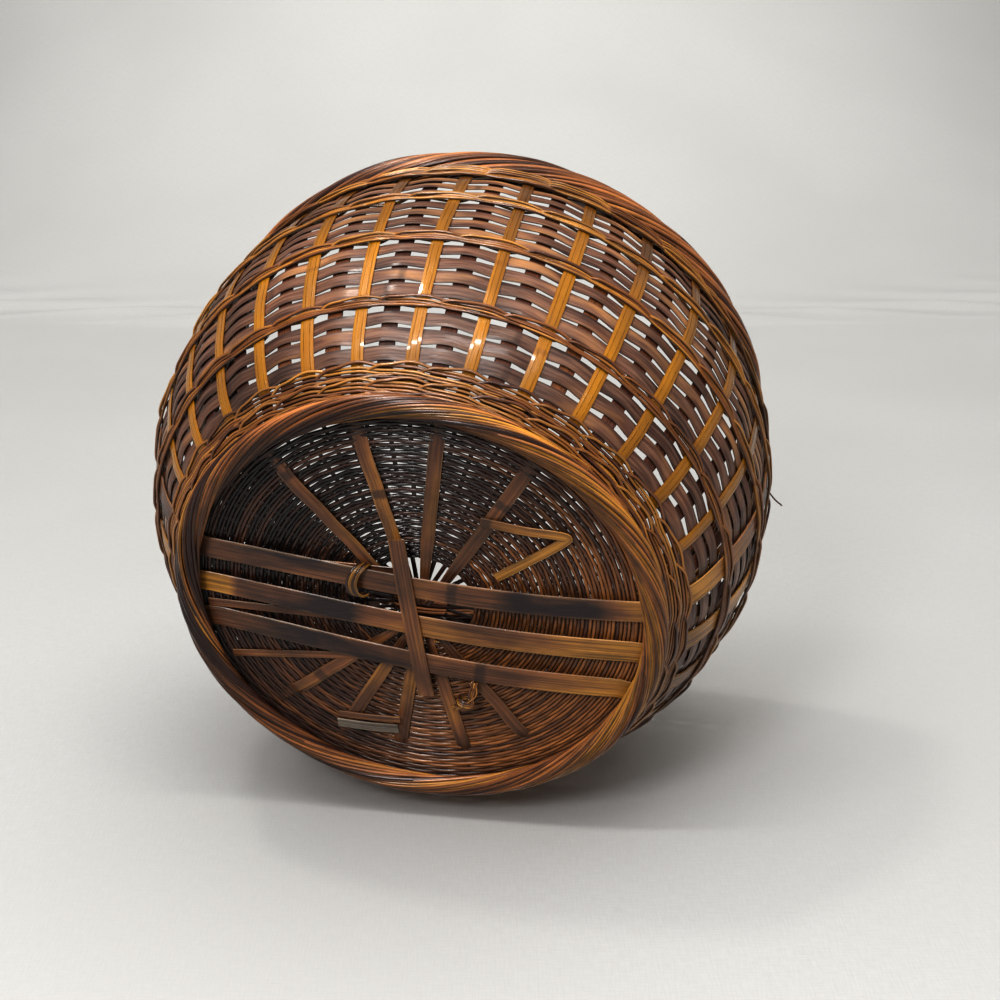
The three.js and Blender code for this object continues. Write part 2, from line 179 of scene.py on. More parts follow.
class Wall:
    """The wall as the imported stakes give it: radius by height, and the places of all splits round it."""

    def __init__(self):
        legs = np.vstack([corners(name) for name in named("stake_pair_")])
        heights = np.round(legs[:, 2], 4)
        radii = np.hypot(legs[:, 0], legs[:, 1])
        self.heights = np.unique(heights)
        self.radii = np.array([radii[heights == height].mean() for height in self.heights])
        below = 6 * MM
        lean = (self.radii[1] - self.radii[0]) / (self.heights[1] - self.heights[0])
        self.heights = np.append(self.heights[0] - below, self.heights)
        self.radii = np.append(self.radii[0] - below * lean, self.radii)
        self.slopes = np.gradient(self.radii, self.heights)
        splits = named("stake_pair_") + named("honey_strip_") + named("base_splint_")
        places = sorted((angle, name) for name in splits for angle in tops(name))
        first = next(i for i, (_, name) in enumerate(places) if not name.startswith("stake"))
        places = places[first:] + places[:first]
        self.names = [name for _, name in places]
        self.angles = np.unwrap([angle for angle, _ in places])

    def radius(self, height):
        """Radius at a height, on a smooth curve through the bends of the stakes."""
        height = np.clip(height, self.heights[0], self.heights[-1])
        i = np.clip(np.searchsorted(self.heights, height) - 1, 0, len(self.heights) - 2)
        run = self.heights[i + 1] - self.heights[i]
        t = (height - self.heights[i]) / run
        low = (1 + 2 * t) * self.radii[i] + t * run * self.slopes[i]
        high = (3 - 2 * t) * self.radii[i + 1] + (t - 1) * run * self.slopes[i + 1]
        return low * (1 - t) ** 2 + high * t ** 2

    def ring(self, steps):
        """Place numbers and angles of points all round, `steps` to a place."""
        total = len(self.names)
        place = np.arange(total * steps) / steps
        knots = np.append(self.angles, self.angles[0] + TURN)
        return place, np.interp(place, np.arange(total + 1), knots)

    def point(self, angle, height, layer):
        """Points of the wall, `layer` out from the middle of the stakes."""
        reach = self.radius(height) + layer
        return around(angle, reach, height)

    def lean(self, height):
        """How much the radius grows for each step up."""
        step = 0.5 * MM
        return (self.radius(height + step) - self.radius(height - step)) / (2 * step)

    def outward(self, angle, height):
        """Unit normal of the wall."""
        lean = self.lean(height)
        size = np.sqrt(1 + lean ** 2)
        return around(angle, 1 / size, -lean / size)


def around(angle, reach, height):
    """Points given by angle, distance from the axis and height."""
    return np.stack(np.broadcast_arrays(reach * np.cos(angle), reach * np.sin(angle), height), axis=-1)


WALL = Wall()
PLACES = len(WALL.names)
SPLINT_PLACES = [place for place, name in enumerate(WALL.names) if name.startswith("base_splint")]


# Swept splits and canes

def ease(place, values):
    """Values given at whole places, led smoothly from place to place all the way round."""
    values = np.asarray(values, float)
    here = np.floor(place).astype(int)
    share = 0.5 - 0.5 * np.cos(np.pi * (place - here))
    return values[here % len(values)] * (1 - share) + values[(here + 1) % len(values)] * share


def sway(source, run, amount, waves=3):
    """Slow seeded wander along a run that goes from 0 to 1."""
    usual_peak, strengths = 1.5, (0.5, 1.0)
    total = np.zeros_like(run)
    for wave in range(1, waves + 1):
        total += np.sin(TURN * (wave * run + source.random())) * source.uniform(*strengths) / wave
    return amount * total / usual_peak


def smooth(points, steps):
    """Points of a curve through the given ones, `steps` to a span."""
    points = np.asarray(points, float)
    padded = np.vstack([2 * points[0] - points[1], points, 2 * points[-1] - points[-2]])
    t = (np.arange(steps) / steps)[:, None]
    spans = []
    for a, b, c, d in zip(padded, padded[1:], padded[2:], padded[3:]):
        spans.append(b + 0.5 * t * (c - a + t * (2 * a - 5 * b + 4 * c - d + t * (3 * (b - c) + d - a))))
    return np.vstack(spans + [points[-1:]])


def flat_section(width, thickness, crown=0.0):
    """Section of a split as offsets across and outward: flat back, crowned face and eased edges."""
    half, deep = width / 2, thickness / 2
    edge = 0.6 * deep
    shoulder = deep + 0.75 * crown
    back = [(-half, edge - deep), (edge - half, -deep), (half - edge, -deep), (half, edge - deep)]
    face = [(half, deep - edge), (half - edge, deep), (half / 2, shoulder), (0, deep + crown),
            (-half / 2, shoulder), (edge - half, deep), (-half, deep - edge)]
    return np.array(back + face)


def ribbed_section(width, thickness, ribs, relief):
    """Section of a split whose face is ribbed by its fibres."""
    half, deep = width / 2, thickness / 2
    back_half, face_half = 0.88 * half, 0.94 * half
    back = [(-half, 0.0), (-back_half, -deep), (back_half, -deep), (half, 0.0)]
    face = [(face_half * (1 - k / ribs), deep - relief * (k % 2 == 0)) for k in range(2 * ribs + 1)]
    return np.array(back + face)


def round_section(diameter, sides):
    """Section of a cane."""
    turn = np.arange(sides) * TURN / sides
    return diameter / 2 * np.stack([np.cos(turn), np.sin(turn)], axis=1)


class Splits:
    """Splits and canes swept along paths and gathered into one mesh with lengthwise coordinates."""
    grain_run = 20.0      # the grain of a split starts anywhere on this length
    thinnest = 1e-9

    def __init__(self, seed):
        self.random = random.Random(seed)
        self.points, self.faces, self.lay, self.marks = [], [], [], []
        self.total = 0

    def add(self, path, outward, section, closed=False, tone=0.5):
        """Sweeps a section; `outward` is the way its face looks, `tone` runs from dark 0 to pale 1."""
        path = np.asarray(path, float)
        section = np.broadcast_to(section, (len(path),) + section.shape[-2:])
        ahead = np.roll(path, -1, axis=0) - np.roll(path, 1, axis=0)
        if not closed:
            ahead[0], ahead[-1] = path[1] - path[0], path[-1] - path[-2]
        ahead /= np.linalg.norm(ahead, axis=1, keepdims=True)
        face = np.broadcast_to(outward, path.shape)
        face = face - ahead * np.sum(face * ahead, axis=1, keepdims=True)
        face /= np.linalg.norm(face, axis=1, keepdims=True)
        across = np.cross(ahead, face)
        rings = path[:, None] + section[..., :1] * across[:, None] + section[..., 1:] * face[:, None]
        rows, sides = rings.shape[:2]
        i, j = np.divmod(np.arange((rows if closed else rows - 1) * sides), sides)
        k, m = (i + 1) % rows, (j + 1) % sides
        quads = np.stack([i * sides + j, k * sides + j, k * sides + m, i * sides + m], axis=1)
        steps = np.linalg.norm(np.roll(path, -1, axis=0) - path, axis=1)
        along = np.append(0.0, np.cumsum(steps)) + self.random.uniform(0.0, self.grain_run)
        side = section[..., 0]
        lay = np.stack([along[i], side[i, j], along[i + 1], side[k, j], along[i + 1], side[k, m],
                        along[i], side[i, m]], axis=1)
        self.faces += (quads + self.total).tolist()
        self.lay.append(lay.reshape(-1, 2))
        if not closed:
            ring = np.arange(sides)
            for row, order in ((0, ring), (rows - 1, ring[::-1])):
                self.faces.append((row * sides + order + self.total).tolist())
                self.lay.append(np.stack([np.full(sides, along[row]), side[row, order]], axis=1))
        edge = np.abs(side) / np.maximum(np.abs(side).max(axis=1, keepdims=True), self.thinnest)
        tone = np.reshape(tone, (-1, 1))
        mark = np.stack(np.broadcast_arrays(tone, self.random.random(), edge), axis=-1)
        self.marks.append(mark.reshape(-1, 3))
        self.points.append(rings.reshape(-1, 3))
        self.total += rows * sides

    def piece(self, name, finish, nodes, crease=180):
        """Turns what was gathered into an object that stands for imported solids."""
        mesh = bpy.data.meshes.new(name)
        mesh.from_pydata(np.vstack(self.points).tolist(), [], self.faces)
        lay = mesh.uv_layers.new(name="lay")
        lay.uv.foreach_set("vector", np.vstack(self.lay).astype(np.float32).ravel())
        marks = mesh.attributes.new("split", "FLOAT_VECTOR", "POINT")
        marks.data.foreach_set("vector", np.vstack(self.marks).astype(np.float32).ravel())
        mesh.shade_smooth()
        mesh.set_sharp_from_angle(angle=math.radians(crease))
        mesh.materials.append(finish)
        made = bpy.data.objects.new(name, mesh)
        bpy.context.scene.collection.objects.link(made)
        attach(made, BODY)
        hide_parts(*nodes)


# Shader effects shared by the finishes

class Tree:
    """Adds nodes to a shader tree; an input given as a socket is linked, any other value is set."""

    def __init__(self, tree):
        self.tree = tree

    def add(self, kind, inputs, **options):
        """New node with its options and inputs."""
        node = self.tree.nodes.new("ShaderNode" + kind)
        for name, value in options.items():
            setattr(node, name, value)
        for key, value in inputs.items():
            self.put(node.inputs[key], value)
        return node

    def put(self, socket, value):
        """Links or sets one input."""
        if isinstance(value, bpy.types.NodeSocket):
            self.tree.links.new(value, socket)
        else:
            socket.default_value = value

    def math(self, operation, first, second=0.0):
        """Sum, product or the like of two values."""
        return self.add("Math", {0: first, 1: second}, operation=operation).outputs[0]

    def mix(self, share, first, second):
        """Colour between two colours."""
        return self.add("Mix", {0: share, 6: first, 7: second}, data_type="RGBA").outputs[2]

    def noise(self, place, scale, detail=2.0):
        """Noise between 0 and 1."""
        return self.add("TexNoise", {"Vector": place, "Scale": scale, "Detail": detail}).outputs["Fac"]

    def ramp(self, value, low, high, start=0.0, end=1.0):
        """Value led from `start` at `low` to `end` at `high`."""
        limits = {"Value": value, "From Min": low, "From Max": high, "To Min": start, "To Max": end}
        return self.add("MapRange", limits).outputs["Result"]

    def lay(self):
        """Distance along and across a split."""
        uv = self.add("UVMap", {}, uv_map="lay").outputs[0]
        return self.add("SeparateXYZ", {0: uv}).outputs[:2]

    def marks(self):
        """Tone, chance and nearness to the edge of a split."""
        mark = self.add("Attribute", {}, attribute_name="split").outputs["Vector"]
        return self.add("SeparateXYZ", {0: mark}).outputs

    def place(self, along, across, chance):
        """Noise place stretched by factors along and across a split, and shifted by its chance."""
        run, side = self.lay()
        parts = {0: self.math("MULTIPLY", run, along), 1: self.math("MULTIPLY", side, across),
                 2: self.math("MULTIPLY", self.marks()[1], chance)}
        return self.add("CombineXYZ", parts).outputs[0]


def effect(name, inputs, outputs):
    """New shader group: its tree, its input sockets and the sockets its results go to."""
    tree = bpy.data.node_groups.new(name, "ShaderNodeTree")
    for way, sockets in (("INPUT", inputs), ("OUTPUT", outputs)):
        for label, kind in sockets.items():
            tree.interface.new_socket(name=label, in_out=way, socket_type="NodeSocket" + kind)
    return Tree(tree), tree.nodes.new("NodeGroupInput").outputs, tree.nodes.new("NodeGroupOutput").inputs


def make_fibres():
    """Streaks of colour and a relief of fibres along every split."""
    tree, given, made = effect("fibres", {"Along": "Float", "Across": "Float"},
                               {"Streak": "Float", "Relief": "Float"})
    place = tree.place(given["Along"], given["Across"], chance=40.0)
    tree.put(made["Streak"], tree.ramp(tree.noise(place, scale=1.0, detail=4.0), low=0.36, high=0.64))
    tree.put(made["Relief"], tree.noise(place, scale=2.6, detail=2.0))
    return tree.tree


def make_tones():
    """Colour by the tone of each split, wandering along its length."""
    tree, given, made = effect(
        "tones", {"Dark": "Color", "Body": "Color", "Pale": "Color", "Along": "Float", "Spread": "Float"},
        {"Colour": "Color"})
    place = tree.place(given["Along"], across=110.0, chance=60.0)
    patch = tree.math("SUBTRACT", tree.noise(place, scale=1.0, detail=3.0), 0.5)
    tone = tree.math("ADD", tree.marks()[0], tree.math("MULTIPLY", patch, given["Spread"]))
    lower = tree.mix(tree.ramp(tone, low=0.1, high=0.5), given["Dark"], given["Body"])
    tree.put(made["Colour"], tree.mix(tree.ramp(tone, low=0.5, high=0.9), lower, given["Pale"]))
    return tree.tree


def make_layer(name, values, mask_of):
    """Colour laid over another one where a mask says so; `values` are the further inputs of the mask."""
    inputs = {"Colour": "Color", "Over": "Color", **dict.fromkeys(values, "Float"), "Amount": "Float"}
    tree, given, made = effect(name, inputs, {"Colour": "Color"})
    mask = tree.math("MULTIPLY", mask_of(tree, given), given["Amount"])
    tree.put(made["Colour"], tree.mix(mask, given["Colour"], given["Over"]))
    return tree.tree


def stain_mask(tree, given):
    """Stains that spread over neighbouring splits."""
    spot = tree.add("TexCoord", {}).outputs["Object"]
    return tree.ramp(tree.noise(spot, given["Scale"], detail=4.0), low=0.45, high=0.7)


def edge_wear_and_shade_mask(tree, given):
    """Ragged band along the edges of a split: bared fibre on the splints, dark honey on the honey strips,
    and painted shade on canes, weavers and stakes where they lie against their neighbours.
    """
    raggedness, full_edge = 0.6, 1.05
    place = tree.place(along=90.0, across=300.0, chance=20.0)
    chance = tree.math("SUBTRACT", tree.noise(place, scale=1.0, detail=3.0), 0.5)
    edge = tree.math("ADD", tree.marks()[2], tree.math("MULTIPLY", chance, raggedness))
    return tree.ramp(edge, given["Start"], full_edge)


def ring_mask(tree, given):
    """Rings where a split crosses a joint of the bamboo."""
    fade = 1.5 * MM
    turns = tree.math("ADD", tree.math("DIVIDE", tree.lay()[0], given["Spacing"]), tree.marks()[1])
    off = tree.math("ABSOLUTE", tree.math("SUBTRACT", tree.math("FRACT", turns), 0.5))
    place = tree.place(along=200.0, across=400.0, chance=20.0)
    wave = tree.math("MULTIPLY", tree.noise(place, scale=1.0, detail=2.0), given["Width"])
    near = tree.math("SUBTRACT", tree.math("MULTIPLY", off, given["Spacing"]), wave)
    return tree.ramp(near, low=0.0, high=fade, start=1.0, end=0.0)


EFFECTS = {
    "fibres": make_fibres,
    "tones": make_tones,
    "stain": partial(make_layer, "stain", ("Scale",), stain_mask),
    # The edge layer lays real wear on the splints and painted shade where canes, weavers and stakes lie
    # against each other
    "edge wear and shade": partial(make_layer, "edge wear and shade", ("Start",), edge_wear_and_shade_mask),
    "bamboo rings": partial(make_layer, "bamboo rings", ("Spacing", "Width"), ring_mask),
}


def shared(tree, name, inputs):
    """Uses one of the shared effects in a finish and returns its results."""
    group = bpy.data.node_groups.get(name) or EFFECTS[name]()
    node = tree.add("Group", {}, node_tree=group)
    for key, value in inputs.items():
        tree.put(node.inputs[key], value)
    return node.outputs


def full(value):
    """Colour with its alpha."""
    return (*value, 1.0)


def finish(name, tones, patch, streak, stain, edge_band, fibres, gloss, coat, rings=None):
    """Bamboo or cane finish made from the shared effects.

    tones: dark, body and pale colour; patch: changes per metre and their spread; streak: colour and share;
    stain: colour, size and share; edge band: colour, start and share, real wear on the splints and painted
    shade on canes, weavers and stakes;
    fibres: per metre along and across, and strength of their relief;
    gloss: roughness between fibres and on them, and specular level; coat: weight and roughness;
    rings: colour, spacing, width and share
    """
    known = bpy.data.materials.get(name)
    if known:
        return known
    made = bpy.data.materials.new(name)
    made.use_nodes = True
    made.node_tree.nodes.clear()
    tree = Tree(made.node_tree)
    dark, body, pale = (full(tone) for tone in tones)
    colour_now = shared(tree, "tones", {"Dark": dark, "Body": body, "Pale": pale, "Along": patch[0],
                                        "Spread": patch[1]})["Colour"]
    grain = shared(tree, "fibres", {"Along": fibres[0], "Across": fibres[1]})
    share = tree.math("MULTIPLY", grain["Streak"], streak[1])
    colour_now = tree.mix(share, colour_now, full(streak[0]))
    # The edge band is real wear on the splints and painted shade where canes, weavers and stakes lie against
    # each other
    layers = [("edge wear and shade", edge_band[0], {"Start": edge_band[1], "Amount": edge_band[2]}),
              ("stain", stain[0], {"Scale": stain[1], "Amount": stain[2]})]
    if rings:
        layers.insert(0, ("bamboo rings", rings[0], {"Spacing": rings[1], "Width": rings[2],
                                                     "Amount": rings[3]}))
    for layer, over, values in layers:
        colour_now = shared(tree, layer, {"Colour": colour_now, "Over": full(over), **values})["Colour"]
    rough = tree.ramp(grain["Relief"], low=0.3, high=0.7, start=gloss[0], end=gloss[1])
    bump = tree.add("Bump", {"Height": grain["Relief"], "Strength": fibres[2], "Distance": 0.3 * MM})
    shader = tree.add("BsdfPrincipled", {"Base Color": colour_now, "Roughness": rough,
                                         "Normal": bump.outputs[0], "Specular IOR Level": gloss[2],
                                         "Coat Weight": coat[0], "Coat Roughness": coat[1]})
    tree.add("OutputMaterial", {"Surface": shader.outputs[0]})
    return made


def honey_finish(tint):
    """Glossy amber strips with fine lengthwise streaks."""
    return finish("honey strip", tones=(tint.honey_dark, tint.honey, tint.honey_brown), patch=(14.0, 0.5),
                  streak=(tint.honey_dark, 0.3), stain=(tint.dirt_and_shade, 30.0, 0.3),
                  edge_band=(tint.honey_dark, 0.8, 0.6), fibres=(18.0, 2200.0, 0.4), gloss=(0.2, 0.36, 0.4),
                  coat=(0.7, 0.1), rings=(tint.honey_dark, 0.31, 1.2 * MM, 0.6))


def weaver_finish(tint):
    """Smoked weavers with tan lengths and a long grain, and painted shade along the edges of each row."""
    return finish("weaver", tones=(tint.weaver_dark, tint.weaver, tint.weaver_pale), patch=(22.0, 2.1),
                  streak=(tint.weaver_streak, 0.5), stain=(tint.dirt_and_shade, 24.0, 0.5),
                  edge_band=(tint.dirt_and_shade, 0.62, 0.75), fibres=(45.0, 700.0, 1.0), gloss=(0.3, 0.5, 0.45),
                  coat=(0.2, 0.16), rings=(tint.weaver_dark, 0.27, 1.5 * MM, 0.5))


def stake_finish(tint):
    """Dark stakes with an open grain, and painted shade along their edges."""
    return finish("stake", tones=(tint.weaver_dark, tint.stake, tint.cane), patch=(10.0, 0.5),
                  streak=(tint.dirt_and_shade, 0.6), stain=(tint.dirt_and_shade, 30.0, 0.4), edge_band=(tint.dirt_and_shade, 0.7, 0.4),
                  fibres=(24.0, 2200.0, 0.9), gloss=(0.4, 0.6, 0.3), coat=(0.05, 0.2))


def cane_finish(tint):
    """Glossy brown and golden canes, with painted shade where they lie against each other."""
    return finish("cane", tones=(tint.cane_dark, tint.cane, tint.cane_pale), patch=(16.0, 0.9),
                  streak=(tint.cane_dark, 0.45), stain=(tint.dirt_and_shade, 26.0, 0.35),
                  edge_band=(tint.dirt_and_shade, 0.45, 0.92), fibres=(26.0, 2600.0, 0.5), gloss=(0.2, 0.38, 0.45),
                  coat=(0.5, 0.12))


def border_finish(tint):
    """Dark canes of the borders with some golden lengths, and painted shade where they lie against each
    other.
    """
    return finish("border", tones=(tint.border_dark, tint.border, tint.cane_pale), patch=(11.0, 1.2),
                  streak=(tint.dirt_and_shade, 0.35), stain=(tint.dirt_and_shade, 18.0, 0.4), edge_band=(tint.dirt_and_shade, 0.5, 0.9),
                  fibres=(20.0, 2400.0, 0.6), gloss=(0.2, 0.36, 0.35), coat=(0.3, 0.12))


def splint_finish(tint):
    """Mottled splints with black joints."""
    return finish("splint", tones=(tint.splint_dark, tint.splint, tint.splint_pale), patch=(24.0, 1.0),
                  streak=(tint.splint_dark, 0.65), stain=(tint.dirt_and_shade, 30.0, 0.6),
                  edge_band=(tint.edge_band, 0.8, 0.35), fibres=(16.0, 1000.0, 1.0), gloss=(0.24, 0.46, 0.4),
                  coat=(0.25, 0.18), rings=(tint.splint_dark, 0.19, 3.0 * MM, 0.7))


def mat_finish(tint):
    """Thin sooty canes of the base mat, with painted shade where they lie against each other."""
    return finish("mat", tones=(tint.dirt_and_shade, tint.mat, tint.mat_pale), patch=(12.0, 0.8),
                  streak=(tint.dirt_and_shade, 0.5), stain=(tint.dirt_and_shade, 20.0, 0.5), edge_band=(tint.dirt_and_shade, 0.42, 0.97),
                  fibres=(30.0, 2600.0, 0.6), gloss=(0.2, 0.38, 0.45), coat=(0.3, 0.15))


def grey_finish(tint):
    """Weathered grey splits."""
    return finish("grey split", tones=(tint.splint_dark, tint.grey, tint.grey_pale), patch=(24.0, 0.7),
                  streak=(tint.splint_dark, 0.6), stain=(tint.dirt_and_shade, 40.0, 0.4), edge_band=(tint.edge_band, 0.86, 0.2),
                  fibres=(18.0, 1800.0, 1.0), gloss=(0.4, 0.6, 0.3), coat=(0.0, 0.2))


# Pieces of the wall

RING_STEPS = 8
CANE_SIDES = 6
CREASE = 30
STRIP_FACE = 1.8 * MM       # from the middle of the stakes to the face of a honey strip
SPLINT_FACE = 2.9 * MM      # and to the face of a wide splint
WARM_SIDE = math.radians(45)
LOOSE_END = math.radians(45)


def climb(angle, heights, layer, swing=0.0):
    """Path up the wall and the way it looks."""
    bearing = angle + swing / WALL.radius(heights)
    return WALL.point(bearing, heights, layer), WALL.outward(bearing, heights)


def scaled(section, width, thickness):
    """Section of unit size brought to the width and thickness of each step of a run."""
    return section[None] * np.stack(np.broadcast_arrays(width, thickness), axis=1)[:, None]


def make_stakes(tint):
    """Dark stakes, two to a split, from the base mat up into the rim."""
    into_rim, wander, tones = 2 * MM, 0.35 * MM, (0.25, 0.7)
    bend_steps, bend_up, bend_in, bend_tone = 14, 2.6 * MM, 0.9 * MM, 0.3
    leg = ribbed_section(breadth("stake_pair_01"), thickness=1.0 * MM, ribs=5, relief=0.16 * MM)
    bend = flat_section(width=5 * MM, thickness=0.8 * MM)
    run = np.linspace(0, 1, 42)
    for name in named("stake_pair_"):
        splits = Splits(name)
        low, high = level(name)
        legs = tops(name)
        for angle in legs:
            heights = low + (high + into_rim - low) * run
            swing = sway(splits.random, run, wander)
            splits.add(*climb(angle, heights, 0.0, swing), leg, tone=splits.random.uniform(*tones))
        turn = np.linspace(0, (legs[1] - legs[0] + math.pi) % TURN - math.pi, bend_steps)
        foot = np.full(bend_steps, low + bend_up)
        splits.add(*climb(legs[0] + turn, foot, -bend_in), bend, tone=bend_tone)
        splits.piece(name.replace("pair", "split"), stake_finish(tint), [name], CREASE)


def make_honey_strips(size, tint):
    """Honey strips over the weavers, tucked behind the bands at both ends and darker towards the top, partly
    their own brown and partly painted shade of the upper wall.
    """
    run = np.linspace(0, 1, 64)
    into_band, thickness, wander = 3 * MM, 0.8 * MM, 0.5 * MM
    ripple, ripples, phases = 0.12 * MM, 40, (0, 6)
    width_shares, width_sway = (0.8, 0.93), 0.06
    # Tone rising towards the dark top colour: partly the strips' own brown, partly painted shade of the
    # upper wall
    low_tones, darker_upward = (0.34, 0.46), 0.62 * run ** 1.6
    for name in named("honey_strip_"):
        splits = Splits(name)
        low, high = level(name)
        for angle in tops(name):
            heights = low + (high + into_band - low) * run
            layer = size.strip_layer + ripple * np.sin(run * ripples + splits.random.uniform(*phases))
            width = breadth(name) * splits.random.uniform(*width_shares)
            width = width * (1 + sway(splits.random, run, width_sway))
            section = scaled(flat_section(1.0, 1.0), width, thickness)
            swing = sway(splits.random, run, wander)
            tone = splits.random.uniform(*low_tones) + darker_upward
            splits.add(*climb(angle, heights, layer, swing), section, tone=tone)
        made = name.replace("honey_strip", "honey_split")
        splits.piece(made, honey_finish(tint), [name], CREASE)


def make_weavers(size, tint):
    """Flat weavers: each row arches out over the stakes and pinches in behind the strips."""
    waves, rise_sway, width_sway, pinch, crown = 14, 0.45 * MM, 0.07, 0.08, 0.1
    width_shares, tones, paler_by_band = (0.95, 1.1), (0.3, 0.52), 0.06
    place, angle = WALL.ring(RING_STEPS)
    run = place / PLACES
    weave = np.where(np.arange(PLACES) % 2 == 0, size.weaver_back, size.weaver_front)
    for name in named("weaver_band_"):
        splits = Splits(name)
        low, high = level(name)
        middle = (low + high) / 2
        heights = middle + sway(splits.random, run, rise_sway, waves)
        tall = splits.random.uniform(*width_shares) * (high - low) * math.hypot(1.0, WALL.lean(middle))
        width = tall * (1 + pinch * np.cos(np.pi * place))
        width = width * (1 + sway(splits.random, run, width_sway, waves))
        section = scaled(flat_section(1.0, 1.0, crown), width, size.weaver_thickness)
        band = int(name.split("_")[2])
        tone = splits.random.uniform(*tones) + paler_by_band * (band - 1)
        path = WALL.point(angle, heights, ease(place, weave))
        splits.add(path, WALL.outward(angle, heights), section, closed=True, tone=tone)
        made = name.replace("weaver_band", "weaver_row")
        splits.piece(made, weaver_finish(tint), [name], CREASE)


def add_wale(splits, height, cane, rods, over, behind, tones):
    """Canes twined round the wall: each slants down over all strips but one, and dips behind that one.

    over: layer over each place of the wall; behind: layer behind a strip
    """
    row_pitch, lift_off, step_out = 0.86 * cane, 0.5 * cane, 0.6 * cane
    nearest, dip = 1.6 * MM, 0.7 * MM
    wander, waves, shares = 0.3 * MM, 9, (0.85, 1.12)
    place, angle = WALL.ring(RING_STEPS)
    span = row_pitch * (rods - 2)
    fall = [0.0] + [span * (0.5 - step / (rods - 2)) for step in range(rods - 1)]
    for strand in range(rods):
        layers, lifts = [], []
        for k in range(PLACES):
            state = (k // 2 + strand) % rods
            if k % 2 == 0:
                layers.append(behind if state == 0 else over[k] + lift_off * (state == 1))
                lifts.append(fall[state])
            else:
                beside = max(over[k - 1], over[(k + 1) % PLACES])
                layers.append(beside + step_out if state == 0 else max(nearest, beside - dip))
                lifts.append((fall[state] + fall[(state + 1) % rods]) / 2)
        heights = height + ease(place, lifts) + sway(splits.random, place / PLACES, wander, waves)
        path = WALL.point(angle, heights, ease(place, layers))
        section = round_section(cane * splits.random.uniform(*shares), CANE_SIDES)
        tone = splits.random.uniform(*tones)
        splits.add(path, WALL.outward(angle, heights), section, closed=True, tone=tone)


def over_splits(cane, clear):
    """Layer of a cane that lies over each place of the wall."""
    layers = np.full(PLACES, STRIP_FACE + clear + cane / 2)
    layers[SPLINT_PLACES] = SPLINT_FACE + clear + cane / 2
    return layers


def add_loose_end(splits, height):
    """Frayed end of a cane that stands away from the wall."""
    out = np.array([2.0, 4.0, 7.0, 10.5]) * MM
    turn = np.array([0.0, 0.03, 0.06, 0.08])
    rise = np.array([0.0, 1.5, 2.5, 2.8]) * MM
    path = smooth(WALL.point(LOOSE_END + turn, height, out) + rise[:, None] * UP, steps=5)
    splits.add(path, UP, round_section(0.8 * MM, sides=5), tone=0.2)


def make_wales(size, tint):
    """Three wales of twined canes between the bands of weavers."""
    names = named("wale_")
    over = over_splits(size.wale_cane, clear=0.1 * MM)
    for name in names:
        splits = Splits(name)
        middle = sum(level(name)) / 2
        add_wale(splits, middle, size.wale_cane, rods=5, over=over, behind=-0.3 * MM, tones=(0.3, 0.85))
        if name == names[-1]:
            add_loose_end(splits, middle)
        splits.piece(name.replace("wale", "wale_canes"), cane_finish(tint), [name])


def make_bands(size, tint):
    """Lower and upper bands: wales of finer canes stacked on each other."""
    for name, cane, rows, clear, tones in (("lower_band", size.lower_cane, 2, 0.8 * MM, (0.2, 0.85)),
                                           ("upper_band", size.upper_cane, 3, 0.9 * MM, (0.45, 1.05))):
        splits = Splits(name)
        low, high = level(name)
        over = over_splits(cane, clear)
        for row in range(rows):
            height = low + (high - low) * (row + 0.5) / rows
            add_wale(splits, height, cane, rods=6, over=over, behind=1.9 * MM, tones=tones)
        splits.piece(name + "_canes", cane_finish(tint), [name])


# Rolled borders

BORDER_TURNS = 4
RIM_BUNDLES = 4
FOOT_FILLERS = 4


def roll(splits, node, strands, bundle, diameter, tones, warmth, looseness, steps=360):
    """Canes laid round each other along a border; `bundle` gives each cane's offsets in half sizes."""
    shares, rise_share, waves = (0.8, 1.2), 0.7, 9
    low, high = level(node)
    points = corners(node)
    reach = np.hypot(points[:, 0], points[:, 1])
    radius, wide, tall = (reach.max() + reach.min()) / 2, reach.max() - reach.min(), high - low
    angle = np.arange(steps) * TURN / steps
    run = angle / TURN
    for strand in range(strands):
        across, up = bundle(strand, BORDER_TURNS * angle)
        thick = diameter * splits.random.uniform(*shares)
        across = across * (wide - thick) / 2 + sway(splits.random, run, looseness, waves)
        up = up * (tall - thick) / 2 + sway(splits.random, run, rise_share * looseness, waves)
        path = around(angle, radius + across, (low + high) / 2 + up)
        tone = splits.random.uniform(*tones) + warmth * np.cos(angle - WARM_SIDE)
        splits.add(path, around(angle, 1.0, 0.0), round_section(thick, CANE_SIDES), closed=True, tone=tone)


def make_rim(size, tint):
    """Rim border: bundles of long canes rolled round each other."""
    splits = Splits("rim")
    canes = size.rim_canes
    lie_back = 0.24

    def bundle(strand, turn):
        lobe = (strand % canes - (canes - 1) / 2) / canes
        lead = turn + TURN * (strand // canes + lobe) / RIM_BUNDLES
        reach = 1 - lie_back * (2 * lobe) ** 2
        return reach * np.cos(lead), reach * np.sin(lead)

    roll(splits, "rim_border", RIM_BUNDLES * canes, bundle, size.rim_cane, tones=(0.02, 0.55), warmth=0.1,
         looseness=0.3 * MM, steps=400)
    splits.piece("rim_border_canes", border_finish(tint), ["rim_border"])


